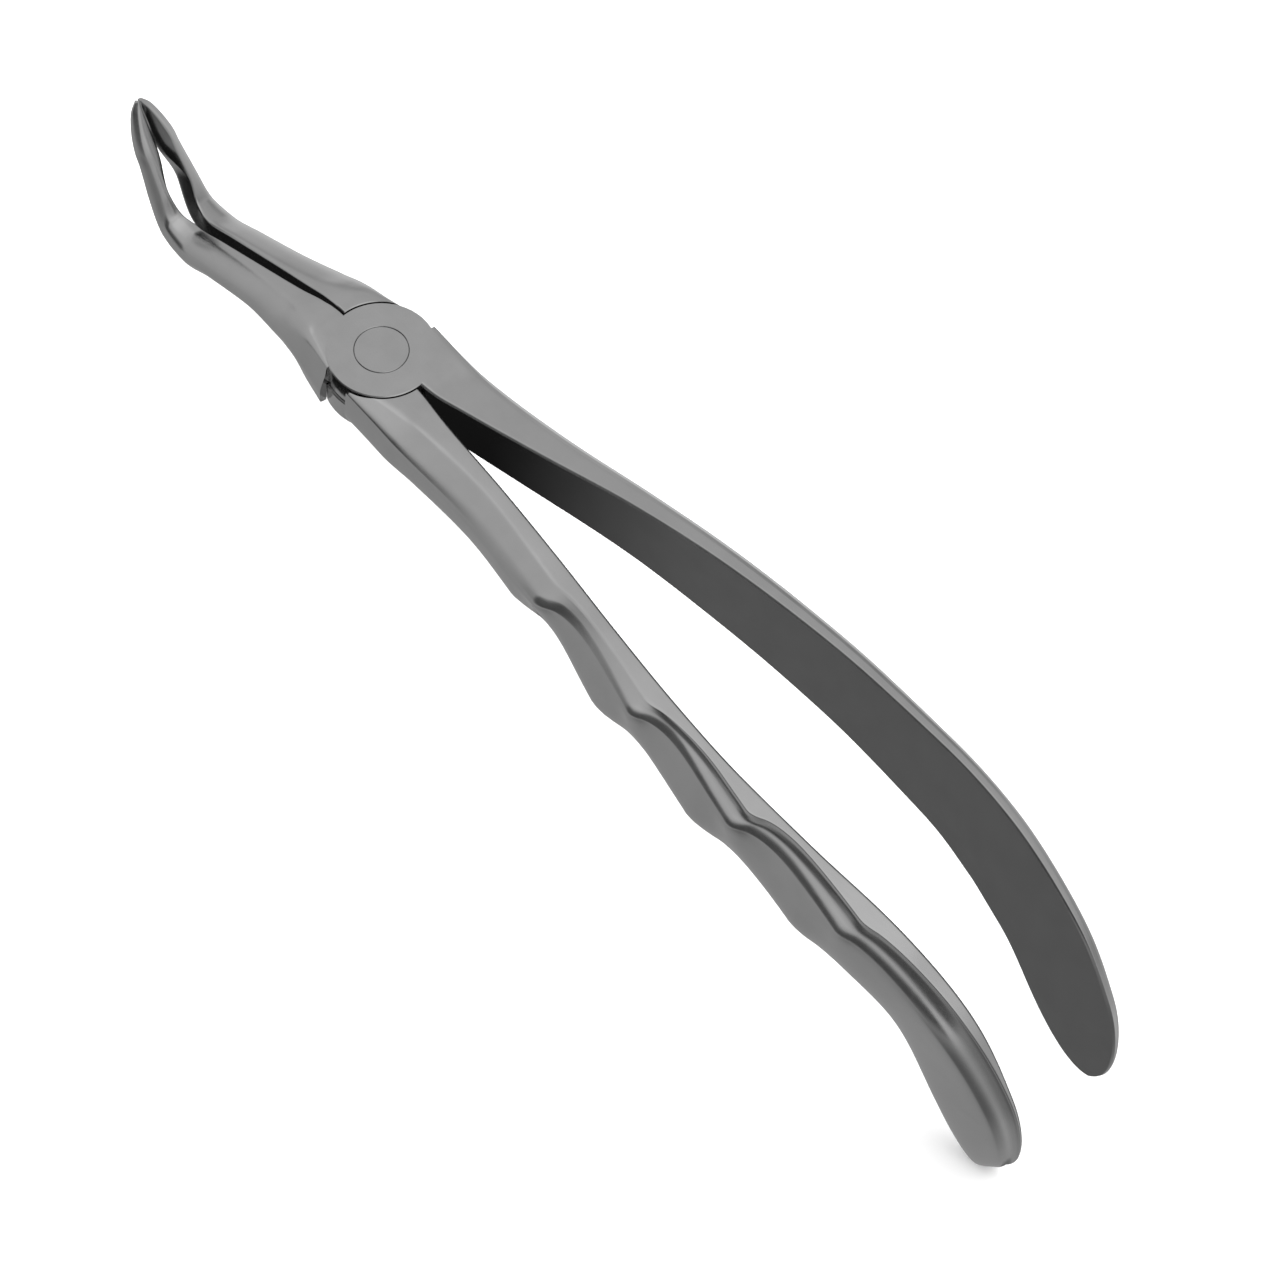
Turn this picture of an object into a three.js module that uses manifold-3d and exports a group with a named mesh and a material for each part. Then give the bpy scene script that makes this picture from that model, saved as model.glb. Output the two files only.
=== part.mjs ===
// Dental extraction forceps for lower roots, closed, in millimetres.
// Two forged halves cross in a lap joint and turn on one flush rivet.
// +X runs along the handles, +Y towards the smooth handle and +Z up the pivot axis.
// The origin is the middle of the rivet's flush upper face.
import * as THREE from 'three';
import { mergeVertices } from 'three/addons/utils/BufferGeometryUtils.js';
import Module from 'manifold-3d';

// ---- driving dimensions
const JOINT_THICKNESS = 7;         // both lap layers together
const DISC_RADIUS = 6.75;          // round face of each lap layer
const GAP = 0.3;                   // clearance between the pieces
const HEAD_RADIUS = 3.25;          // rivet head, flush with the upper face
const HEAD_DEPTH = 1.6;
const SHANK_RADIUS = 2.2;
const HANDLE_LEAN = 6;             // degrees of draft on the sides of the handles
const ROUND_SEGMENTS = 72;

const wasm = await Module();
wasm.setup();

// ---- small helpers
const radians = THREE.MathUtils.degToRad;
const { lerp } = THREE.MathUtils;
const Y_AXIS = new THREE.Vector3(0, 1, 0);

function toSolid(geometry) {
  const bare = geometry.clone();
  bare.deleteAttribute('normal');
  bare.deleteAttribute('uv');
  const merged = mergeVertices(bare, 1e-5);
  return new wasm.Manifold(new wasm.Mesh({
    numProp: 3,
    vertProperties: new Float32Array(merged.attributes.position.array),
    triVerts: new Uint32Array(merged.index.array),
  }));
}

function toGeometry(solid) {
  const mesh = solid.getMesh();
  const geometry = new THREE.BufferGeometry();
  geometry.setAttribute('position', new THREE.BufferAttribute(mesh.vertProperties, 3));
  geometry.setIndex(new THREE.BufferAttribute(mesh.triVerts, 1));
  return geometry;
}

// A round solid about the pivot axis; profile is [radius, z] from the bottom up.
function turned(profile) {
  const points = profile.map(([radius, z]) => new THREE.Vector2(radius, z));
  const geometry = new THREE.LatheGeometry(points, ROUND_SEGMENTS);
  geometry.rotateX(Math.PI / 2);
  return toSolid(geometry);
}

function cylinder(radius, low, high) {
  return turned([[0, low], [radius, low], [radius, high], [0, high]]);
}

// Smooth values between hand-set rows (Catmull-Rom on each column); t runs from 0 to 1.
function between(rows, t) {
  const place = t * (rows.length - 1);
  const index = Math.min(Math.floor(place), rows.length - 2);
  const f = place - index;
  const row = (i) => rows[THREE.MathUtils.clamp(i, 0, rows.length - 1)];
  return rows[0].map((_, column) => {
    const [a, b, c, d] = [-1, 0, 1, 2].map((step) => row(index + step)[column]);
    const tangentB = (c - a) / 2;
    const tangentC = (d - b) / 2;
    return b + f * tangentB + f * f * (3 * (c - b) - 2 * tangentB - tangentC)
      + f * f * f * (2 * (b - c) + tangentB + tangentC);
  });
}

// A closed skin over a run of sections, each a ring of Vector3.
function skin(rings) {
  const size = rings[0].length;
  const positions = [];
  const triangles = [];
  rings.forEach((ring) => ring.forEach((point) => positions.push(point.x, point.y, point.z)));
  for (let i = 0; i < rings.length - 1; i += 1) {
    for (let j = 0; j < size; j += 1) {
      const k = (j + 1) % size;
      const [a, b, c, d] = [i * size + j, i * size + k, (i + 1) * size + k, (i + 1) * size + j];
      triangles.push(a, b, c, a, c, d);
    }
  }
  [[0, true], [rings.length - 1, false]].forEach(([index, first]) => {
    const middle = new THREE.Vector3();
    rings[index].forEach((point) => middle.addScaledVector(point, 1 / size));
    const hub = positions.length / 3;
    positions.push(middle.x, middle.y, middle.z);
    for (let j = 0; j < size; j += 1) {
      const [a, b] = [index * size + j, index * size + ((j + 1) % size)];
      triangles.push(...(first ? [hub, b, a] : [hub, a, b]));
    }
  });
  const geometry = new THREE.BufferGeometry();
  geometry.setAttribute('position', new THREE.Float32BufferAttribute(positions, 3));
  geometry.setIndex(triangles);
  let solid = toSolid(geometry);
  if (solid.volume() < 0) {
    for (let i = 0; i < triangles.length; i += 3) {
      [triangles[i], triangles[i + 1]] = [triangles[i + 1], triangles[i]];
    }
    geometry.setIndex(triangles);
    solid = toSolid(geometry);
  }
  return solid;
}

// ---- handles
// Stations along a handle: x, y, z of the upper inner edge, pitch in degrees, depth.
const HANDLE_PATH = [
  [1.6, 0.15, 0, 0, 7.0],
  [8.0, 0.35, 0, 2, 7.0],
  [14.0, 1.4, 0.7, 10, 7.0],
  [26.0, 3.4, 3.0, 11, 7.6],
  [38.0, 5.6, 5.1, 7, 9.2],
  [50.0, 7.6, 6.1, 2.5, 11.0],
  [62.0, 9.1, 6.3, 0, 12.1],
  [74.0, 9.95, 6.4, 0.8, 13.2],
  [86.0, 10.0, 6.5, 0, 14.5],
  [98.0, 9.5, 5.6, -12, 15.8],
  [110.0, 8.4, 0.0, -38, 15.2],
  [117.5, 7.7, -8.8, -54, 14.0],
  [123.8, 7.2, -20.4, -62, 12.2],
];
// Outer side at the same stations: strip (flat top), ridge and its drop, bulge (greatest
// thickness) and its place down the depth, foot (width of the under side).
const SMOOTH_SIDE = [
  [6.5, 6.95, 0.2, 7.2, 0.6, 6.2],
  [5.6, 6.55, 0.35, 7.0, 0.55, 5.4],
  [4.7, 5.95, 0.45, 6.6, 0.5, 4.4],
  [3.5, 4.65, 0.45, 5.8, 0.5, 3.6],
  [2.6, 3.6, 0.4, 5.2, 0.5, 3.0],
  [2.1, 3.0, 0.4, 5.0, 0.5, 2.6],
  [1.7, 2.55, 0.4, 4.8, 0.5, 2.4],
  [1.5, 2.2, 0.4, 4.6, 0.5, 2.2],
  [1.35, 1.95, 0.35, 4.4, 0.5, 2.0],
  [1.2, 1.7, 0.35, 4.0, 0.55, 1.9],
  [1.1, 1.55, 0.3, 3.6, 0.65, 1.8],
  [1.0, 1.45, 0.3, 3.3, 0.7, 1.6],
  [0.85, 1.2, 0.3, 2.9, 0.7, 1.4],
];
const GRIP_SIDE = [
  [5.8, 6.95, 0.45, 7.1, 0.7, 6.5],
  [4.1, 6.6, 1.05, 6.95, 0.75, 5.6],
  [2.9, 5.95, 1.3, 6.4, 0.7, 4.6],
  [2.1, 5.2, 1.35, 6.0, 0.65, 4.0],
  [2.4, 5.25, 1.25, 6.4, 0.55, 3.7],
  [2.6, 5.15, 1.0, 6.8, 0.5, 3.4],
  [2.6, 4.9, 1.1, 6.5, 0.5, 3.0],
  [2.65, 4.9, 1.55, 6.5, 0.5, 3.0],
  [2.7, 4.85, 1.85, 6.5, 0.5, 2.8],
  [2.8, 4.75, 1.85, 6.4, 0.55, 2.8],
  [2.3, 4.0, 1.85, 5.3, 0.62, 2.6],
  [1.9, 3.5, 1.7, 4.8, 0.68, 2.3],
  [1.5, 2.8, 1.35, 4.1, 0.72, 1.8],
];
const HANDLE_STEPS = 90;
const END_ROUND = 0.075;           // part of the handle's run that the round end takes
const END_POWER = 2.2;             // 2 gives an elliptical end, more gives a blunter one
const END_SKEW = 0.68;             // share of the rounding that the upper edge takes
const END_THICKNESS = 0.35;        // thickness left at the very end
const EDGE = 0.35;                 // chamfer along the inner face
const UPPER_CHEEK = { out: 0.62, down: 0.45 };   // shares of the way from the ridge to the bulge
const LOWER_CHEEK = { out: 0.3, down: 0.62 };    // shares of the way from the bulge to the foot
const HEEL = { out: 0.6, down: 0.96 };           // how the foot turns under the handle

// Shape of each end: start (place on the run where it begins), reach (mm it runs on),
// set (mm its upper edge falls back) and turn in degrees.
const SMOOTH_END = { start: 0.84, reach: 1.0, set: 0.8, turn: 5 };
const GRIP_END = { start: 0.76, reach: 5.0, set: 4.6, turn: 14 };

// The finger-grip handle has a broader palm end, and slanting grooves cross its outer side.
const PALM_DEPTH = 3.4;
const GROOVE_PITCH = 18.6;
const FIRST_CREST = 41.3;          // x of the first crest at the top edge
const GROOVE = { strip: 1.4, ridge: 2.0, bulge: 1.75, foot: 0.8 };

// Depth of the grooves, 0 on a crest; they lean 45 degrees, so lower means nearer the joint.
function groove(x, drop) {
  const run = (x + drop - FIRST_CREST) / GROOVE_PITCH;
  if (run < 0) return 0;
  if (run > 3) return 0.6 * Math.sin(Math.PI * Math.min((run - 3) / 1.9, 1) ** 0.55);
  return Math.sin(Math.PI * (run % 1) ** 0.6);
}

function handleSection(t, grip) {
  const [x, y, z, pitch, pathDepth] = between(HANDLE_PATH, t);
  const [strip, ridge, ridgeDrop, bulge, bulgeAt, foot] = between(grip ? GRIP_SIDE : SMOOTH_SIDE, t);
  const end = grip ? GRIP_END : SMOOTH_END;
  const ending = THREE.MathUtils.smoothstep(t, end.start, 1) ** 1.5;
  const palm = grip ? THREE.MathUtils.smoothstep(t, 0.7, 0.95) : 0;
  const tail = Math.max(0, (t - (1 - END_ROUND)) / END_ROUND);
  const shrink = Math.max(1 - tail ** END_POWER, 0.01) ** (1 / END_POWER);
  const thin = END_THICKNESS + (1 - END_THICKNESS) * shrink;
  const wholeDepth = pathDepth + PALM_DEPTH * palm - (end.set / 2) * ending;
  const depth = wholeDepth * shrink;
  const bulgeDrop = depth * bulgeAt;
  const cut = (amount, drop) => (grip ? amount * groove(x, drop) : 0);
  const at = {
    strip: strip * thin - cut(GROOVE.strip, 0),
    ridge: ridge * thin - cut(GROOVE.ridge, ridgeDrop),
    bulge: bulge * thin - cut(GROOVE.bulge, bulgeDrop),
    foot: foot * thin - cut(GROOVE.foot, depth),
  };
  const lean = radians(HANDLE_LEAN) * THREE.MathUtils.smoothstep(t, 0.07, 0.25);
  const slope = radians(pitch + end.turn * ending);
  const along = new THREE.Vector3(Math.cos(slope), 0, Math.sin(slope));
  const out = new THREE.Vector3(0, Math.cos(lean), -Math.sin(lean)).applyAxisAngle(Y_AXIS, -slope);
  const down = new THREE.Vector3().crossVectors(out, along);
  const outline = [
    [0, depth - EDGE], [0, depth * 2 / 3], [0, depth / 3], [0, EDGE], [EDGE, 0],
    [at.strip, 0], [at.ridge, ridgeDrop],
    [lerp(at.ridge, at.bulge, UPPER_CHEEK.out), lerp(ridgeDrop, bulgeDrop, UPPER_CHEEK.down)],
    [at.bulge, bulgeDrop],
    [lerp(at.bulge, at.foot, LOWER_CHEEK.out), lerp(bulgeDrop, depth, LOWER_CHEEK.down)],
    [at.foot, depth * HEEL.down], [at.foot * HEEL.out, depth], [EDGE, depth],
  ];
  const start = new THREE.Vector3(x, y, z)
    .addScaledVector(down, (wholeDepth - depth) * END_SKEW + end.set * ending)
    .addScaledVector(along, end.reach * ending);
  return outline.map(([n, drop]) => start.clone().addScaledVector(down, drop).addScaledVector(out, n));
}

function handle(side) {
  const rings = [];
  for (let i = 0; i <= HANDLE_STEPS; i += 1) {
    const ring = handleSection(i / HANDLE_STEPS, side < 0);
    ring.forEach((point) => { point.y *= side; });
    rings.push(ring);
  }
  return skin(rings);
}

// ---- beaks
// Each row: x and z of the upper inner edge, pitch, half gap, half width, depth,
// bevel of the inner edge, and how square the section is (1 at the joint, 0 half oval).
const BEAK = [
  [-2.7, 0, 0, 0.15, 6.55, 7.0, 0.3, 1],
  [-7.0, 0, -1.5, 0.2, 6.2, 6.9, 0.3, 0.85],
  [-10.5, -0.75, -14, 0.25, 5.9, 6.8, 0.3, 0.55],
  [-14.5, -2.55, -21, 0.38, 5.5, 6.3, 0.3, 0.2],
  [-20.7, -5.1, -21.5, 0.45, 5.05, 5.4, 0.3, 0],
  [-28.5, -8.3, -21.5, 0.5, 4.5, 5.1, 0.3, 0],
  [-33.6, -10.4, -17, 0.55, 4.3, 5.6, 0.3, 0],
  [-35.9, -10.1, 15, 0.95, 4.1, 5.1, 0.3, 0],
  [-38.0, -7.1, 50, 1.5, 3.65, 3.8, 0.35, 0],
  [-40.2, -3.5, 57, 0.5, 3.2, 3.3, 1.0, 0],
  [-41.4, -1.6, 58, 0.25, 3.05, 3.1, 1.1, 0],
  [-42.8, 0.4, 59, 0.15, 2.5, 2.6, 1.0, 0],
  [-44.1, 2.45, 60, 0.15, 1.6, 1.8, 0.6, 0],
  [-44.9, 3.6, 62, 0.15, 0.65, 0.8, 0.2, 0],
];
// The shell of the beak, from the top to the foot: share of its width, share of its depth,
// the same where the section is square, and 1 where it flares with the shoulder.
const BEAK_SHELL = [
  [0.8, 0.07, 0, 0],
  [1, 0.3, 0.3, 0],
  [0.92, 0.52, 0.52, 1],
  [0.7, 0.76, 0.76, 1],
  [0.4, 0.94, 1, 1],
];
const BEAK_STEPS = 52;
const SHOULDER_FLARE = 0.14;       // spread of the lower part of the smooth half's shoulder
const SHOULDER_TRIM = 0.07;        // the grip half's beak leaves the joint narrower

function beakSection(row, grip) {
  const [x, z, pitch, gap, halfWidth, depth, bevel, square] = row;
  const slope = radians(pitch);
  const up = new THREE.Vector3(Math.sin(slope), 0, Math.cos(slope));
  const wide = (halfWidth - gap) * (grip ? 1 - SHOULDER_TRIM * square : 1);
  const flare = grip ? 1 : 1 + SHOULDER_FLARE * square;
  const shell = BEAK_SHELL.map(([share, drop, squareDrop, flares]) => [
    wide * lerp(share, 1, square) * (flares ? flare : 1),
    lerp(drop, squareDrop, square),
  ]);
  const outline = [
    [0, 0.88], [0, 0.5], [0, bevel / depth], [bevel * 0.6, 0], [wide * 0.5, 0],
    ...shell, [wide * 0.12, 1],
  ];
  return outline.map(([n, drop]) => new THREE.Vector3(x, gap + n, z).addScaledVector(up, -depth * drop));
}

function beak(side) {
  const rings = [];
  for (let i = 0; i <= BEAK_STEPS; i += 1) {
    const ring = beakSection(between(BEAK, i / BEAK_STEPS), side > 0);
    ring.forEach((point) => { point.y *= side; });
    rings.push(ring);
  }
  return skin(rings);
}

// ---- the two halves and the rivet
const MIDDLE = -JOINT_THICKNESS / 2;
const BELOW = -JOINT_THICKNESS;

function smoothHalf() {
  const layer = cylinder(DISC_RADIUS, MIDDLE + GAP / 2, 0);
  const room = cylinder(DISC_RADIUS + GAP, BELOW - 5, MIDDLE + GAP / 2);
  const bore = cylinder(SHANK_RADIUS + GAP, BELOW - 5, 5);
  const countersink = cylinder(HEAD_RADIUS + GAP, -HEAD_DEPTH - GAP, 5);
  return beak(-1).add(handle(1)).subtract(room).add(layer).subtract(bore).subtract(countersink);
}

function gripHalf() {
  const layer = cylinder(DISC_RADIUS, BELOW, MIDDLE - GAP / 2);
  const room = cylinder(DISC_RADIUS + GAP, MIDDLE - GAP / 2, 5);
  const bore = cylinder(SHANK_RADIUS + GAP, BELOW - 5, 5);
  return beak(1).add(handle(-1)).subtract(room).add(layer).subtract(bore);
}

function rivet() {
  return turned([
    [0, BELOW], [SHANK_RADIUS, BELOW], [SHANK_RADIUS, -HEAD_DEPTH], [HEAD_RADIUS, -HEAD_DEPTH],
    [HEAD_RADIUS, 0], [0, 0],
  ]);
}

function piece(name, solid, color) {
  const material = new THREE.MeshStandardMaterial({ color, roughness: 0.42, metalness: 1 });
  const mesh = new THREE.Mesh(toGeometry(solid), material);
  mesh.name = name;
  return mesh;
}

const forceps = new THREE.Group();
forceps.add(piece('smooth_handle_half', smoothHalf(), 0x8f8f8f));
forceps.add(piece('finger_grip_half', gripHalf(), 0x8b8b8b));
forceps.add(piece('joint_rivet', rivet(), 0x949494));

export default forceps;
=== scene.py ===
"""Dental extraction forceps: two forged satin-steel halves that cross in a riveted lap joint."""
import math

import bpy
import bmesh
from mathutils import Matrix, Vector


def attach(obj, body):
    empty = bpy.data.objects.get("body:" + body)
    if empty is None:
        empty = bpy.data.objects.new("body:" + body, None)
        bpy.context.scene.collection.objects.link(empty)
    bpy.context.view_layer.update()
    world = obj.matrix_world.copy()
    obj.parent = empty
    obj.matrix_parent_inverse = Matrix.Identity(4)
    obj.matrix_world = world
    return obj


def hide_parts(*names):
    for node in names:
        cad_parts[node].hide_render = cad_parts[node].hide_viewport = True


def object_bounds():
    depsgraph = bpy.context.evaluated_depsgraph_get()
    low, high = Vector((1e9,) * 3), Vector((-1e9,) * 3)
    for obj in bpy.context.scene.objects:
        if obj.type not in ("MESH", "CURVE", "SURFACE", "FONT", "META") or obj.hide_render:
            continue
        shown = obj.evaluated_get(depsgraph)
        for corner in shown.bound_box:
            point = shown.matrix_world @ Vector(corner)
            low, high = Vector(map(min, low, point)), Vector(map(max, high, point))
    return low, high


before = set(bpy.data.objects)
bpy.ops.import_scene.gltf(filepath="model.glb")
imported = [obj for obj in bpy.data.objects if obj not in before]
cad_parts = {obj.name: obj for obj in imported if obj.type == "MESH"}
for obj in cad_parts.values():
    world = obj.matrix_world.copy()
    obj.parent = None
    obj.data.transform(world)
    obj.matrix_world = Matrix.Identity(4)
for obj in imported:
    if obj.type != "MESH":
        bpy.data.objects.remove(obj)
CAD_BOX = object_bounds()

MM = 0.001

# ---- camera: the pivot sits up and to the left in the square picture
CAMERA_DISTANCE = 700.0     # to the pivot, in mm
VIEW_WIDTH = 153.66         # the picture's width at that distance, in mm
PIVOT_AT = (0.29805, 0.27305)   # from the left and the top, in shares of the picture
CAMERA_TILT = math.radians(33.4)
CAMERA_TURN = math.radians(49.0)
SENSOR = 36.0
CLIP_NEAR, CLIP_FAR = 0.01, 20.0


def make_camera():
    cos_t, sin_t = math.cos(CAMERA_TILT), math.sin(CAMERA_TILT)
    cos_p, sin_p = math.cos(CAMERA_TURN), math.sin(CAMERA_TURN)
    right = Vector((cos_p, sin_p, 0))
    down = Vector((cos_t * sin_p, -cos_t * cos_p, -sin_t))
    forward = right.cross(down)
    focal = CAMERA_DISTANCE / VIEW_WIDTH
    aim = Vector(((PIVOT_AT[0] - 0.5) / focal, (PIVOT_AT[1] - 0.5) / focal, 1))
    turn = Vector((0, 0, 1)).rotation_difference(aim.normalized()).to_matrix()
    basis = turn @ Matrix((right, down, forward))
    place = -(basis.transposed() @ (aim * CAMERA_DISTANCE))
    data = bpy.data.cameras.new("camera")
    data.sensor_width = SENSOR
    data.lens = focal * SENSOR
    data.clip_start = CLIP_NEAR
    data.clip_end = CLIP_FAR
    camera = bpy.data.objects.new("camera", data)
    axes = Matrix((basis[0], -basis[1], -basis[2])).transposed()
    camera.matrix_world = Matrix.Translation(place * MM) @ axes.to_4x4()
    bpy.context.scene.collection.objects.link(camera)
    bpy.context.scene.camera = camera


make_camera()

# ---- small helpers


def smoothstep(value, low, high):
    f = min(max((value - low) / (high - low), 0.0), 1.0)
    return f * f * (3 - 2 * f)


def between(rows, t):
    """Smooth values between rows, with no overshoot; t runs from 0 to 1."""
    place = t * (len(rows) - 1)
    index = min(int(place), len(rows) - 2)
    f = place - index

    def tangent(before, here, after):
        left, right = here - before, after - here
        if left * right <= 0:
            return 0.0
        return min(abs(left + right) / 2, 3 * abs(left), 3 * abs(right)) * (1 if left > 0 else -1)

    def row(i):
        return rows[min(max(i, 0), len(rows) - 1)]

    values = []
    for a, b, c, d in zip(row(index - 1), row(index), row(index + 1), row(index + 2)):
        first = index == 0
        last = index == len(rows) - 2
        tb = (c - b) if first else tangent(a, b, c)
        tc = (c - b) if last else tangent(b, c, d)
        values.append(b + f * tb + f * f * (3 * (c - b) - 2 * tb - tc)
                      + f ** 3 * (2 * (b - c) + tb + tc))
    return values


CORNER_STEPS = 6


def rounded(corners):
    """Corners (n, drop, softness) of a closed outline, each turned into a short curve."""
    points = []
    count = len(corners)
    for i, (n, drop, soft) in enumerate(corners):
        here = Vector((n, drop))
        before = here.lerp(Vector(corners[i - 1][:2]), soft)
        after = here.lerp(Vector(corners[(i + 1) % count][:2]), soft)
        for k in range(CORNER_STEPS):
            u = k / (CORNER_STEPS - 1)
            points.append(before * (1 - u) ** 2 + here * 2 * u * (1 - u) + after * u * u)
    return points


def build(name, points, faces):
    """A mesh object from points in mm, with its faces turned outwards."""
    mesh = bpy.data.meshes.new(name)
    mesh.from_pydata([tuple(p * MM) for p in points], [], faces)
    shape = bmesh.new()
    shape.from_mesh(mesh)
    bmesh.ops.recalc_face_normals(shape, faces=shape.faces)
    shape.to_mesh(mesh)
    shape.free()
    piece = bpy.data.objects.new(name, mesh)
    bpy.context.scene.collection.objects.link(piece)
    return piece


def skin(name, rings):
    """A closed solid through rings of equally many points, with a fan at each end."""
    size = len(rings[0])
    points = [p for ring in rings for p in ring]
    faces = []
    for i in range(len(rings) - 1):
        for j in range(size):
            k = (j + 1) % size
            faces.append((i * size + j, i * size + k, (i + 1) * size + k, (i + 1) * size + j))
    for index in (0, len(rings) - 1):
        hub = len(points)
        points.append(sum(rings[index], Vector()) / size)
        for j in range(size):
            faces.append((hub, index * size + j, index * size + (j + 1) % size))
    return build(name, points, faces)


ROUND_STEPS = 192


def turned(name, profile):
    """A closed round solid about the pivot axis; profile is (radius, z), on the axis at both ends."""
    rim = profile[1:-1]
    points = [Vector((0, 0, profile[0][1])), Vector((0, 0, profile[-1][1]))]
    for radius, z in rim:
        for k in range(ROUND_STEPS):
            angle = 2 * math.pi * k / ROUND_STEPS
            points.append(Vector((radius * math.cos(angle), radius * math.sin(angle), z)))
    faces = []
    for k in range(ROUND_STEPS):
        m = (k + 1) % ROUND_STEPS
        faces.append((0, 2 + k, 2 + m))
        top = len(points) - ROUND_STEPS
        faces.append((1, top + m, top + k))
        for i in range(len(rim) - 1):
            low, high = 2 + i * ROUND_STEPS, 2 + (i + 1) * ROUND_STEPS
            faces.append((low + k, low + m, high + m, high + k))
    return build(name, points, faces)


def combine(piece, tool, how):
    """Boolean of two objects, applied; the tool is removed."""
    modifier = piece.modifiers.new("boolean", "BOOLEAN")
    modifier.operation = how
    modifier.solver = "EXACT"
    modifier.object = tool
    graph = bpy.context.evaluated_depsgraph_get()
    result = bpy.data.meshes.new_from_object(piece.evaluated_get(graph))
    piece.modifiers.clear()
    piece.data = result
    bpy.data.objects.remove(tool)


# ---- handles
# Stations along a handle: x, y, z of the upper inner edge, pitch in degrees, depth.
HANDLE_PATH = [
    (1.6, 0.12, 0, 0, 7.0),
    (8.0, 0.35, 0, 2, 7.0),
    (14.0, 1.4, 0.7, 10, 7.0),
    (26.0, 3.4, 3.0, 11, 7.6),
    (38.0, 5.6, 5.1, 7, 9.2),
    (50.0, 7.6, 6.1, 2.5, 11.0),
    (62.0, 9.1, 6.35, 0, 12.1),
    (74.0, 9.95, 6.4, 0.8, 13.2),
    (86.0, 10.05, 6.45, 0, 14.5),
    (98.0, 9.5, 5.6, -12, 15.8),
    (110.4, 8.4, 0.0, -38, 15.2),
    (118.0, 7.7, -8.8, -54, 14.0),
    (124.3, 7.2, -20.4, -62, 12.2),
]
# Outer side at the same stations: strip (flat top), wall (short steep drop under the strip), width
# and tilt of the facet below it, roll (rounding under the facet), bulge (greatest thickness) and
# its place down the depth, foot.
SMOOTH_SIDE = [
    (6.5, 0, 0.4, 16, 0.15, 7.2, 0.6, 6.2),
    (5.6, 0, 0.7, 18, 0.5, 7.0, 0.55, 5.4),
    (4.5, 0, 0.8, 20, 0.9, 6.6, 0.5, 4.4),
    (3.1, 0, 0.8, 20, 1.1, 5.8, 0.5, 3.6),
    (2.1, 0, 0.8, 20, 1.1, 5.2, 0.5, 3.0),
    (1.6, 0, 0.8, 20, 1.0, 5.0, 0.5, 2.6),
    (1.3, 0, 0.75, 20, 0.9, 4.8, 0.5, 2.4),
    (1.1, 0, 0.7, 20, 0.8, 4.6, 0.5, 2.2),
    (1.0, 0, 0.6, 20, 0.7, 4.4, 0.5, 2.0),
    (0.95, 0, 0.5, 20, 0.6, 4.0, 0.55, 1.9),
    (0.9, 0, 0.4, 20, 0.5, 3.6, 0.65, 1.8),
    (0.85, 0, 0.35, 20, 0.4, 3.3, 0.7, 1.6),
    (0.7, 0, 0.3, 20, 0.3, 2.9, 0.7, 1.4),
]
GRIP_SIDE = [
    (5.6, 0, 1.2, 25, 0.4, 7.1, 0.7, 6.5),
    (4.1, 0, 2.4, 25, 0.8, 7.3, 0.75, 5.6),
    (2.9, 0, 2.8, 22, 1.1, 6.7, 0.7, 4.6),
    (2.1, 0, 2.7, 20, 1.4, 6.0, 0.65, 4.0),
    (2.4, 0, 2.4, 18, 1.5, 6.4, 0.55, 3.7),
    (2.6, 0, 2.2, 15, 1.2, 6.8, 0.5, 3.4),
    (2.6, 0.08, 1.9, 18, 1.1, 6.5, 0.5, 3.0),
    (2.65, 0.35, 1.8, 24, 1.1, 6.5, 0.5, 3.0),
    (2.7, 0.35, 1.9, 28, 1.2, 6.5, 0.5, 2.8),
    (2.8, 0.35, 2.0, 28, 1.2, 6.4, 0.55, 2.8),
    (2.4, 0.35, 2.5, 22, 1.3, 5.5, 0.62, 2.6),
    (1.25, 0.35, 2.2, 20, 1.3, 5.0, 0.68, 2.3),
    (0.8, 0.35, 1.5, 20, 1.0, 4.2, 0.72, 1.8),
]
WALL_SLANT = 0.5            # width of the wall for each unit of its drop
EDGE = 0.3                  # rounding of the inner edges
LEAST_WIDTH = 0.15          # of the strip past its edge, and of the facet
HANDLE_STEPS = 300
HANDLE_LEAN = math.radians(6)
LEAN_RUN = (0.07, 0.25)     # where along the handle the lean comes in
# The rounded end: its share of the handle, the power of its outline (2 is an ellipse), what is
# left of the height at the tip (to that power) and of the thickness, and how late that falls.
END_STEPS = 26
END_ROUND = 0.085
END_POWER = 2.1
END_LEFT = 0.0008
END_THICKNESS = 0.2
END_THINNING = 0.7
# Where each end starts to change, and how far it reaches, sinks and turns (in degrees) by its tip;
# skew is the share of the rounding that comes off the top edge.
SMOOTH_END = {"start": 0.84, "reach": 0.5, "set": 0.7, "turn": 5, "skew": 0.58}
GRIP_END = {"start": 0.76, "reach": 4.5, "set": 4.5, "turn": 14, "skew": 0.92}
# The grip half's palm end is deeper and higher, and the smooth half is deeper halfway along.
PALM_RUN = (0.7, 0.95)
PALM_DEPTH = 3.2
PALM_LIFT = 0.8
DEEPER_FROM = (0.35, 0.55)
DEEPER_TO = (0.75, 0.92)
SMOOTH_DEPTH = 0.35
GROOVE_PITCH = 18.6
FIRST_CREST = 41.3
GROOVE = {"strip": 1.6, "ridge": 2.0, "bulge": 1.75, "foot": 0.8}
FULL_GROOVES = 3            # then one longer and shallower groove runs out to the palm
LAST_GROOVE = 1.9           # its length in pitches
LAST_GROOVE_DEPTH = 0.6
SAG = 0.13                  # of the facet between the strip and the ridge


def groove_at(run):
    """Share of the full depth at a run counted in grooves from the first crest."""
    if run < 0:
        return 0.0
    if run > FULL_GROOVES:
        last = min((run - FULL_GROOVES) / LAST_GROOVE, 1)
        return LAST_GROOVE_DEPTH * math.sin(math.pi * last ** 0.55)
    return math.sin(math.pi * (run % 1) ** 0.6)


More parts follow.
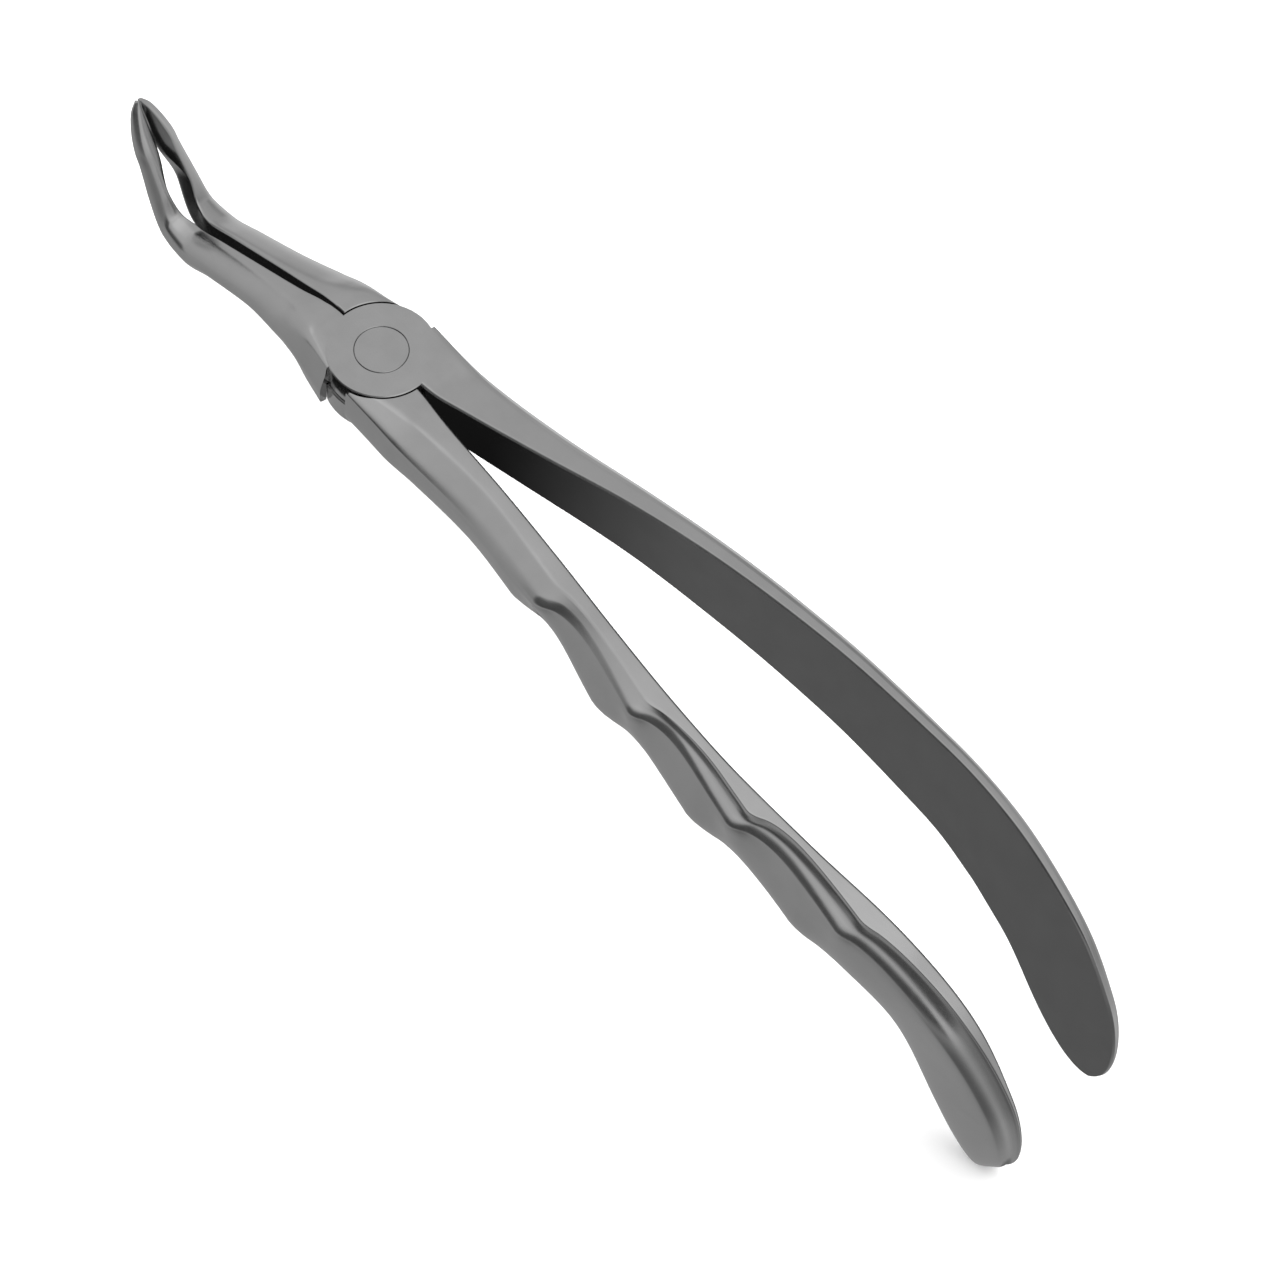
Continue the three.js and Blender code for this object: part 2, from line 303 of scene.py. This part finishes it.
def groove(x, drop, spread):
    """Depth of the slanting finger grooves, 0 on a crest; spread rounds the crests."""
    run = (x + drop - FIRST_CREST) / GROOVE_PITCH
    return sum(groove_at(run + spread * k / 3) for k in range(-3, 4)) / 7


def handle_section(t, tail, grip):
    """Ring of a handle at t along it; tail runs from 0 to 1 over the rounded end."""
    x, y, z, pitch, path_depth = between(HANDLE_PATH, t)
    side = GRIP_SIDE if grip else SMOOTH_SIDE
    strip, wall, facet, tilt, roll, bulge, bulge_at, foot = between(side, t)
    end = GRIP_END if grip else SMOOTH_END
    ending = smoothstep(t, end["start"], 1) ** 1.5
    whole = path_depth - end["set"] / 2 * ending
    sink = end["set"] * ending
    if grip:
        palm = smoothstep(t, *PALM_RUN)
        whole += PALM_DEPTH * palm
        sink -= PALM_LIFT * palm
    else:
        deeper = smoothstep(t, *DEEPER_FROM) * (1 - smoothstep(t, *DEEPER_TO))
        whole += SMOOTH_DEPTH * deeper
    shrink = max(1 - tail ** END_POWER, END_LEFT) ** (1 / END_POWER)
    thin = END_THICKNESS + (1 - END_THICKNESS) * shrink ** END_THINNING
    depth = whole * shrink
    edge = min(EDGE, depth / 4)
    ease = min(1, shrink * 1.5)
    wall *= ease
    roll *= ease * thin
    ridge = strip + wall * WALL_SLANT + facet * math.cos(math.radians(tilt))
    ridge_drop = wall + facet * math.sin(math.radians(tilt)) * ease
    bulge_drop = depth * bulge_at

    def cut(part, drop, spread):
        return GROOVE[part] * groove(x, drop, spread) if grip else 0.0

    strip = strip * thin - cut("strip", 0, 0.05) * min(1, wall * 1.5 + 0.5)
    strip = max(strip, edge + LEAST_WIDTH)
    ridge = ridge * thin - cut("ridge", ridge_drop, 0.05)
    ridge = max(ridge, strip + wall * WALL_SLANT + LEAST_WIDTH)
    bulge = bulge * thin - cut("bulge", bulge_drop, 0.11)
    roll_out, roll_drop = roll * 0.77, roll * 0.64
    if tail:
        bulge = max(bulge, ridge + roll_out + 0.1)
    foot = foot * thin - cut("foot", depth, 0.13)

    lean = HANDLE_LEAN * smoothstep(t, *LEAN_RUN)
    slope = math.radians(pitch + end["turn"] * ending)
    along = Vector((math.cos(slope), 0, math.sin(slope)))
    up = Vector((-math.sin(slope), 0, math.cos(slope)))
    out = Vector((0, math.cos(lean), 0)) - up * math.sin(lean)
    down = out.cross(along)
    # without a wall, the corner of the strip is a long soft crease
    crease = 1 - min(1, wall / 0.12)
    top_of_ridge = Vector((ridge, ridge_drop))
    wall_foot = Vector((strip + wall * WALL_SLANT, wall)).lerp(top_of_ridge, 0.3 * crease)
    hollow = wall_foot.lerp(top_of_ridge, 0.5) + Vector((-0.6, 0.8)) * SAG * min(1, wall / 0.3)
    lead = min(0.35 + 1.2 * crease, (strip - edge) * 0.6)
    below = depth - bulge_drop
    corners = [
        (0, depth - edge, 0.2), (0, depth * 0.72, 0.49), (0, depth * 0.3, 0.49), (0, edge, 0.2),
        (edge, 0, 0.1), (strip - lead, 0, 0.1), (strip, 0, 0.45),
        (*wall_foot, 0.35), (*hollow, 0.4), (ridge, ridge_drop, 0.45),
        (ridge + roll_out, ridge_drop + roll_drop, 0.3), (bulge + 0.1, bulge_drop, 0.49),
        (bulge + (foot - bulge) * 0.3, bulge_drop + below * 0.62, 0.49),
        (foot, depth * 0.96, 0.49), (foot * 0.6, depth, 0.4), (edge, depth, 0.2),
    ]
    sink += (whole - depth) * end["skew"]
    start = Vector((x, y, z)) + down * sink + along * (end["reach"] * ending)
    return [start + down * drop + out * n for n, drop in rounded(corners)]


def handle(name, side):
    straight = 1 - END_ROUND
    stations = [(i / HANDLE_STEPS * straight, 0.0) for i in range(HANDLE_STEPS)]
    for i in range(END_STEPS + 1):
        tail = math.sin(math.pi / 2 * i / END_STEPS)
        stations.append((straight + END_ROUND * tail, tail))
    rings = [handle_section(t, tail, side < 0) for t, tail in stations]
    return skin(name, [[Vector((p.x, p.y * side, p.z)) for p in ring] for ring in rings])


# ---- beaks
# Each row: x and z of the upper inner edge, pitch, half gap, bevel of the inner edge (width and
# drop), strip (flat top), shoulder outside it and its drop, half width and its drop, depth,
# and how square the lower part is (1 at the joint, 0 half oval).
BEAK = [
    (-2.35, 0, 0, 0.1, 0.15, 0.15, 6.3, 6.75, 0.2, 6.85, 1.5, 7.0, 1),
    (-7.0, 0, -1.5, 0.12, 0.15, 0.15, 4.7, 5.85, 0.5, 6.4, 2.0, 6.9, 0.85),
    (-10.5, -0.75, -14, 0.25, 0.2, 0.2, 3.5, 5.2, 0.65, 6.3, 2.0, 6.8, 0.55),
    (-14.5, -2.55, -21, 0.38, 0.2, 0.3, 2.7, 4.55, 0.65, 5.9, 1.9, 6.3, 0.2),
    (-20.7, -5.1, -21.5, 0.45, 0.2, 0.3, 2.1, 4.0, 0.65, 5.05, 1.7, 5.4, 0),
    (-28.5, -8.3, -21.5, 0.5, 0.2, 0.3, 1.8, 3.5, 0.6, 4.65, 1.6, 5.1, 0),
    (-33.6, -10.3, -17, 0.55, 0.2, 0.3, 1.7, 3.4, 0.5, 4.45, 1.6, 5.6, 0),
    (-35.9, -10.1, 15, 0.95, 0.2, 0.3, 1.9, 3.3, 0.4, 4.1, 1.4, 5.1, 0),
    (-38.0, -7.1, 50, 1.45, 0.2, 0.3, 2.05, 2.95, 0.35, 3.65, 1.2, 3.8, 0),
    (-40.2, -3.5, 57, 0.5, 0.9, 0.55, 1.8, 2.6, 0.3, 3.2, 1.1, 3.3, 0),
    (-41.4, -1.6, 58, 0.15, 1.25, 0.7, 1.7, 2.5, 0.3, 3.05, 1.0, 3.1, 0),
    (-42.8, 0.4, 59, 0.1, 1.0, 0.5, 1.4, 1.9, 0.2, 2.5, 0.8, 2.6, 0),
    (-44.1, 2.45, 60, 0.1, 0.5, 0.25, 0.75, 1.1, 0.15, 1.6, 0.6, 1.8, 0),
    (-44.9, 3.6, 62, 0.1, 0.05, 0.05, 0.25, 0.4, 0.1, 0.6, 0.25, 0.8, 0),
]
BEAK_STEPS = 240
SHOULDER_FLARE = 0.14       # share added to the smooth half's lower part at the joint
SHOULDER_TRIM = 0.07        # and share taken off the grip half's width there
# The grip half's beak: a wider gap and body, a top that falls away outwards, a sharper inner edge,
# and a jaw that is set back and steeply hollowed where the rows' bevel is wider than a plain one.
GRIP_GAP = 0.15
GRIP_WIDER = 0.15
TOP_FALL = 0.45
SHARP_BEVEL = 0.15
PLAIN_BEVEL = 0.2
JAW_SET_BACK = 0.25
HOLLOW_SLOPE = 2.0
HOLLOW_LIMIT = 0.4          # greatest drop of the hollow, as a share of the depth


def beak_section(row, grip):
    """Ring of a beak on its +Y side."""
    (x, z, pitch, gap, ease, ease_drop, strip, over, over_drop,
     half_width, wide_drop, depth, square) = row
    slope = math.radians(pitch)
    up = Vector((math.sin(slope), 0, math.cos(slope)))
    flare, trim = 1 + SHOULDER_FLARE * square, 1
    if grip:
        flare, trim = 1, 1 - SHOULDER_TRIM * square
        free = 1 - square
        gap += (JAW_SET_BACK * (ease - PLAIN_BEVEL) + GRIP_GAP * gap) * free
        half_width += GRIP_WIDER * free * min(1, half_width / 4)
        hollow = max(0, ease - PLAIN_BEVEL)
        ease = min(ease, SHARP_BEVEL) + hollow
        ease_drop = min(min(ease_drop, SHARP_BEVEL) + HOLLOW_SLOPE * hollow, depth * HOLLOW_LIMIT)
        rim = gap + ease * 1.2
        strip = rim + (strip - rim) * (0.45 + 0.55 * square)
        fall = TOP_FALL * free * min(1, half_width / 4)
        over_drop += fall
        wide_drop += fall
    wide = (half_width - gap) * trim

    def out(fraction):
        return flare * wide * (fraction + (1 - fraction) * square)

    corners = [
        (0, depth * 0.88, 0.4), (0, depth * 0.55, 0.49), (0, ease_drop, 0.15), (ease, 0, 0.15),
        ((strip - gap) * trim, 0, 0.35), ((over - gap) * trim, over_drop, 0.45),
        (wide, wide_drop, 0.49),
        (out(0.95), depth * 0.54, 0.49), (out(0.74), depth * 0.8, 0.49),
        (out(0.4), depth * (0.98 + 0.02 * square), 0.49), (wide * 0.1, depth, 0.4),
    ]
    return [Vector((x, gap + n, z)) - up * drop for n, drop in rounded(corners)]


def beak(name, side):
    rings = [beak_section(between(BEAK, i / BEAK_STEPS), side > 0) for i in range(BEAK_STEPS + 1)]
    return skin(name, [[Vector((p.x, p.y * side, p.z)) for p in ring] for ring in rings])


# ---- the joint: radii of the lap layers, of the rooms cut for them in the other half, and of
# the rivet; its bores are wider by a clearance
THICKNESS = 7.0
BOTTOM = -THICKNESS
MIDDLE = BOTTOM / 2
SEAM = 0.1                  # half the visible clearance between the lap layers
DISC_RADIUS = 6.8
ROOM_RADIUS = 6.98
LOWER_DISC_RADIUS = 7.05
LOWER_ROOM_RADIUS = 7.18
HEAD_RADIUS = 3.3
HEAD_DEPTH = 1.6
HEAD_CHAMFER = 0.06
SHANK_RADIUS = 2.2
SHANK_CHAMFER = 0.1
CLEARANCE = 0.05
CHAMFER = 0.12
FAR = 8.0                   # past the outside of the part
PAST = 1.0                  # how far a bore's cutter stands out


def disc(radius, bottom, top):
    return turned("disc", [
        (0, bottom), (radius - CHAMFER, bottom), (radius, bottom + CHAMFER),
        (radius, top - CHAMFER), (radius - CHAMFER, top), (0, top)])


def smooth_half():
    piece = beak("smooth_half", -1)
    combine(piece, handle("handle", 1), "UNION")
    low = MIDDLE + SEAM
    combine(piece, turned("room", [
        (0, BOTTOM - FAR), (LOWER_ROOM_RADIUS, BOTTOM - FAR), (LOWER_ROOM_RADIUS, low), (0, low)]),
        "DIFFERENCE")
    combine(piece, disc(DISC_RADIUS, low, 0), "UNION")
    shank, seat = SHANK_RADIUS + SEAM, -HEAD_DEPTH - SEAM
    head = HEAD_RADIUS + CLEARANCE
    mouth = head + HEAD_CHAMFER
    combine(piece, turned("bore", [
        (0, BOTTOM - PAST), (shank, BOTTOM - PAST), (shank, seat), (head, seat),
        (head, -HEAD_CHAMFER), (mouth, 0), (mouth, PAST), (0, PAST)]), "DIFFERENCE")
    return piece


def grip_half():
    piece = beak("grip_half", 1)
    combine(piece, handle("handle", -1), "UNION")
    top = MIDDLE - SEAM
    combine(piece, turned("room", [
        (0, top), (ROOM_RADIUS, top), (ROOM_RADIUS, -CHAMFER),
        (ROOM_RADIUS + FAR, FAR - CHAMFER), (0, FAR - CHAMFER)]), "DIFFERENCE")
    combine(piece, disc(LOWER_DISC_RADIUS, BOTTOM, top), "UNION")
    shank = SHANK_RADIUS + CLEARANCE
    mouth = shank + SHANK_CHAMFER
    combine(piece, turned("bore", [
        (0, BOTTOM - PAST), (mouth, BOTTOM - PAST), (mouth, BOTTOM),
        (shank, BOTTOM + SHANK_CHAMFER), (shank, PAST), (0, PAST)]), "DIFFERENCE")
    return piece


def joint_rivet():
    return turned("rivet", [
        (0, BOTTOM), (SHANK_RADIUS - SHANK_CHAMFER, BOTTOM), (SHANK_RADIUS, BOTTOM + SHANK_CHAMFER),
        (SHANK_RADIUS, -HEAD_DEPTH), (HEAD_RADIUS, -HEAD_DEPTH), (HEAD_RADIUS, -HEAD_CHAMFER),
        (HEAD_RADIUS - HEAD_CHAMFER, 0), (0, 0)])


# ---- satin steel: soft clouds in tone and polish, fine grain, and streaks along the part
ROUGHNESS = 0.23
CLOUD_SCALE, GRAIN_SCALE, STREAK_SCALE = 260, 9000, 2600
STREAK_STRETCH = (0.12, 1, 1)
TONE_SPREAD = 0.03
ROUGHNESS_SPREAD = 0.02
BUMP_STRENGTH = 0.12
BUMP_HEIGHT = 0.00002


def steel(name, tone):
    material = bpy.data.materials.new(name)
    material.use_nodes = True
    nodes, links = material.node_tree.nodes, material.node_tree.links
    shader = nodes["Principled BSDF"]
    shader.inputs["Metallic"].default_value = 1
    place = nodes.new("ShaderNodeTexCoord")

    def noise(scale, detail, stretch=(1, 1, 1)):
        mapping = nodes.new("ShaderNodeMapping")
        mapping.inputs["Scale"].default_value = stretch
        texture = nodes.new("ShaderNodeTexNoise")
        texture.inputs["Scale"].default_value = scale
        texture.inputs["Detail"].default_value = detail
        links.new(place.outputs["Object"], mapping.inputs["Vector"])
        links.new(mapping.outputs["Vector"], texture.inputs["Vector"])
        return texture.outputs["Fac"]

    def ramp(source, low, high):
        node = nodes.new("ShaderNodeMapRange")
        node.inputs["From Min"].default_value = 0.3
        node.inputs["From Max"].default_value = 0.7
        node.inputs["To Min"].default_value = low
        node.inputs["To Max"].default_value = high
        links.new(source, node.inputs["Value"])
        return node.outputs["Result"]

    def added(first, second):
        node = nodes.new("ShaderNodeMath")
        node.operation = "ADD"
        links.new(first, node.inputs[0])
        links.new(second, node.inputs[1])
        return node.outputs[0]

    cloud = noise(CLOUD_SCALE, 3)
    grain = noise(GRAIN_SCALE, 2)
    streak = noise(STREAK_SCALE, 2, STREAK_STRETCH)
    shade = ramp(cloud, tone * (1 - TONE_SPREAD), tone * (1 + TONE_SPREAD))
    tint = nodes.new("ShaderNodeCombineColor")
    for channel in ("Red", "Green", "Blue"):
        links.new(shade, tint.inputs[channel])
    links.new(tint.outputs["Color"], shader.inputs["Base Color"])
    clouded = ramp(cloud, ROUGHNESS - ROUGHNESS_SPREAD, ROUGHNESS + ROUGHNESS_SPREAD)
    streaked = ramp(streak, -ROUGHNESS_SPREAD, ROUGHNESS_SPREAD)
    links.new(added(clouded, streaked), shader.inputs["Roughness"])
    bump = nodes.new("ShaderNodeBump")
    bump.inputs["Strength"].default_value = BUMP_STRENGTH
    bump.inputs["Distance"].default_value = BUMP_HEIGHT
    links.new(added(grain, streak), bump.inputs["Height"])
    links.new(bump.outputs["Normal"], shader.inputs["Normal"])
    return material


SATIN = steel("satin_steel", 0.55)
SATIN_RIVET = steel("satin_steel_rivet", 0.54)
SHARP_ANGLE = math.radians(28)


def dress(piece, material, body, node):
    piece.data.materials.clear()
    piece.data.materials.append(material)
    piece.data.polygons.foreach_set("use_smooth", [True] * len(piece.data.polygons))
    piece.data.set_sharp_from_angle(angle=SHARP_ANGLE)
    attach(piece, body)
    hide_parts(node)


dress(smooth_half(), SATIN, "smooth_body", "smooth_handle_half")
dress(grip_half(), SATIN, "grip_body", "finger_grip_half")
dress(joint_rivet(), SATIN_RIVET, "grip_body", "joint_rivet")

# ---- floor and light
FLOOR_DROP = 0.0004         # below the lowest point of the part, in m
FLOOR_HALF = 3.0
FLOOR_TONE = 0.9
FLOOR_ROUGHNESS = 0.9


def make_floor():
    low, half = CAD_BOX[0][2] - FLOOR_DROP, FLOOR_HALF
    mesh = bpy.data.meshes.new("pale_floor")
    mesh.from_pydata([(-half, -half, low), (half, -half, low), (half, half, low), (-half, half, low)],
                     [], [(0, 1, 2, 3)])
    material = bpy.data.materials.new("pale_floor")
    material.use_nodes = True
    shader = material.node_tree.nodes["Principled BSDF"]
    shader.inputs["Base Color"].default_value = (FLOOR_TONE, FLOOR_TONE, FLOOR_TONE, 1)
    shader.inputs["Roughness"].default_value = FLOOR_ROUGHNESS
    mesh.materials.append(material)
    floor = bpy.data.objects.new("pale_floor", mesh)
    # the steel reflects the even surroundings, not the floor and its shadow
    floor.visible_glossy = False
    bpy.context.scene.collection.objects.link(floor)


# The studio round the part: brightness at each height of the view (-1 straight down, 1 straight
# up), and soft lobes (direction, tightness, brightness), of which the negative ones darken.
SURROUND = [(-1.0, 0.36), (-0.1, 0.4), (0.2, 0.46), (0.75, 0.5), (0.85, 0.52), (0.92, 0.74),
            (1.0, 0.82)]
LOBES = [
    ((0.8, -0.1, 0.6), 5.0, 0.32), ((-0.95, 0.2, 0.25), 5.0, 0.12),
    ((-0.35, -0.5, 0.8), 9.0, 0.12), ((-0.45, 0.78, -0.43), 6.0, 0.4),
    ((0.63, -0.63, -0.45), 6.0, -0.26), ((0.75, 0.4, -0.5), 8.0, 0.25),
    ((-0.66, 0.07, 0.75), 120.0, 0.35), ((-0.77, 0.64, 0.05), 20.0, -0.2),
    ((0.76, 0.64, 0.08), 12.0, -0.18),
]
# Two dark gaps low down, at the front and the back, which draw the dark lines of the steel: the
# height of their middle and half their height, then direction, where each begins and is full
# (cosines of the angle from the direction) and darkness.
GAP_HEIGHT = 0.34
GAP_HALF = 0.38
GAP_CORE = 0.3              # share of half the height that is fully dark
GAPS = [((0.14, -0.99, 0.0), 0.54, 0.66, 0.85), ((-0.3, 0.95, 0.0), 0.93, 0.98, 0.6)]
RANGE_INPUTS = ("From Min", "From Max", "To Min", "To Max")


def make_surround():
    world = bpy.data.worlds.new("studio")
    bpy.context.scene.world = world
    world.use_nodes = True
    nodes, links = world.node_tree.nodes, world.node_tree.links
    background = nodes["Background"]
    place = nodes.new("ShaderNodeTexCoord").outputs["Generated"]

    def math_node(kind, first, second=0.0, third=0.0):
        node = nodes.new("ShaderNodeMath")
        node.operation = kind
        for socket, value in zip(node.inputs, (first, second, third)):
            if isinstance(value, (int, float)):
                socket.default_value = value
            else:
                links.new(value, socket)
        return node.outputs[0]

    def towards(direction):
        dot = nodes.new("ShaderNodeVectorMath")
        dot.operation = "DOT_PRODUCT"
        dot.inputs[1].default_value = Vector(direction).normalized()
        links.new(place, dot.inputs[0])
        return dot.outputs["Value"]

    def eased(value, low, high, first, second):
        node = nodes.new("ShaderNodeMapRange")
        node.interpolation_type = "SMOOTHSTEP"
        for name, number in zip(RANGE_INPUTS, (low, high, first, second)):
            node.inputs[name].default_value = number
        links.new(value, node.inputs["Value"])
        return node.outputs["Result"]

    height = towards((0, 0, 1))
    total = math_node("ADD", SURROUND[0][1], 0.0)
    for (low, before), (high, after) in zip(SURROUND, SURROUND[1:]):
        total = math_node("ADD", total, eased(height, low, high, 0.0, after - before))
    for direction, tightness, brightness in LOBES:
        lobe = math_node("POWER", math_node("MAXIMUM", towards(direction)), tightness)
        total = math_node("MULTIPLY_ADD", lobe, brightness, total)
    off = math_node("ABSOLUTE", math_node("SUBTRACT", height, GAP_HEIGHT))
    band = eased(off, GAP_CORE * GAP_HALF, GAP_HALF, 1.0, 0.0)
    light = math_node("ADD", 1.0)
    for direction, low, high, darkness in GAPS:
        window = eased(towards(direction), low, high, 0.0, darkness)
        light = math_node("SUBTRACT", light, math_node("MULTIPLY", band, window))
    links.new(math_node("MULTIPLY", total, light), background.inputs["Strength"])
    background.inputs["Color"].default_value = (1, 1, 1, 1)


# Dark cards of painted shade between the handles, between the necks and beside the recess in the
# joint: faintly glowing sheets that only reflections show. They paint shade into the inner faces,
# and are darkest at the joint: tone and the stretch of x, in m, over which it rises.
PAINTED_SHADE_TONES = (0.01, 0.145)
CARD_RUN = (0.016, 0.05)
HANDLE_CARD_DEPTH = 50.0
HANDLE_CARD_DROP = 0.3
HANDLE_CARD_SPREAD = 0.4    # extra drop for each mm of the handle's distance from the middle
NECK_CARD_DEPTH = 14.0
NECK_CARD_DROP = 0.15
RECESS_CARD_DEPTH = 3.0
RECESS_CARD_RADIUS = 7.2
RECESS_CARD_DROP = 0.144
RECESS_FROM, RECESS_TO = math.radians(253), math.radians(285)


def card_runs():
    """Top line and depth of each card."""
    handles, necks, recess = [], [], []
    for i in range(3, 41):
        x, y, z, _, _ = between(HANDLE_PATH, i / 40)
        handles.append(Vector((x, 0, z - HANDLE_CARD_DROP - HANDLE_CARD_SPREAD * y)))
    for x, z, _, _, _, ease_drop, *_ in BEAK[1:13]:
        necks.append(Vector((x, 0, z - ease_drop - NECK_CARD_DROP)))
    for i in range(13):
        angle = RECESS_FROM + (RECESS_TO - RECESS_FROM) * i / 12
        recess.append(Vector((RECESS_CARD_RADIUS * math.cos(angle), RECESS_CARD_RADIUS * math.sin(angle),
                              -RECESS_CARD_DROP)))
    return (handles, HANDLE_CARD_DEPTH), (necks, NECK_CARD_DEPTH), (recess, RECESS_CARD_DEPTH)


def make_painted_shade_cards():
    points, faces = [], []
    for run, depth in card_runs():
        for i, point in enumerate(run):
            points += [point, point - Vector((0, 0, depth))]
            if i:
                k = len(points)
                faces.append((k - 4, k - 3, k - 1, k - 2))
    card = build("painted_shade_card", points, faces)
    material = bpy.data.materials.new("painted_shade_card")
    material.use_nodes = True
    nodes, links = material.node_tree.nodes, material.node_tree.links
    shader = nodes["Principled BSDF"]
    # The card's colour is painted shade: black, with a faint glow that rises away from the joint.
    shader.inputs["Base Color"].default_value = (0, 0, 0, 1)
    shader.inputs["Specular IOR Level"].default_value = 0
    shader.inputs["Emission Color"].default_value = (1, 1, 1, 1)
    place = nodes.new("ShaderNodeTexCoord")
    split = nodes.new("ShaderNodeSeparateXYZ")
    tone = nodes.new("ShaderNodeMapRange")
    tone.interpolation_type = "SMOOTHSTEP"
    for name, number in zip(RANGE_INPUTS, CARD_RUN + PAINTED_SHADE_TONES):
        tone.inputs[name].default_value = number
    links.new(place.outputs["Object"], split.inputs[0])
    links.new(split.outputs["X"], tone.inputs["Value"])
    links.new(tone.outputs["Result"], shader.inputs["Emission Strength"])
    card.data.materials.append(material)
    # The painted shade is hidden from the camera and from light, so only the steel's reflections show
    # it.
    for kind in ("camera", "diffuse", "shadow", "transmission"):
        setattr(card, "visible_" + kind, False)


# A wide soft light above the part lights the floor; the steel takes its light from the surround.
LIGHT_SIDE = 1.8
LIGHT_POWER = 38
LIGHT_AIM = Vector((0.04, 0, 0))
LIGHT_OFFSET = Vector((0.1, 0.1, 1.2))


def make_floor_light():
    data = bpy.data.lights.new("floor_light", "AREA")
    data.shape = "SQUARE"
    data.size = LIGHT_SIDE
    data.energy = LIGHT_POWER
    light = bpy.data.objects.new("floor_light", data)
    light.location = LIGHT_AIM + LIGHT_OFFSET
    light.rotation_euler = LIGHT_OFFSET.to_track_quat("Z", "Y").to_euler()
    light.visible_glossy = False
    bpy.context.scene.collection.objects.link(light)


make_floor()
make_painted_shade_cards()
make_surround()
make_floor_light()
bpy.context.scene.view_settings.view_transform = "Standard"
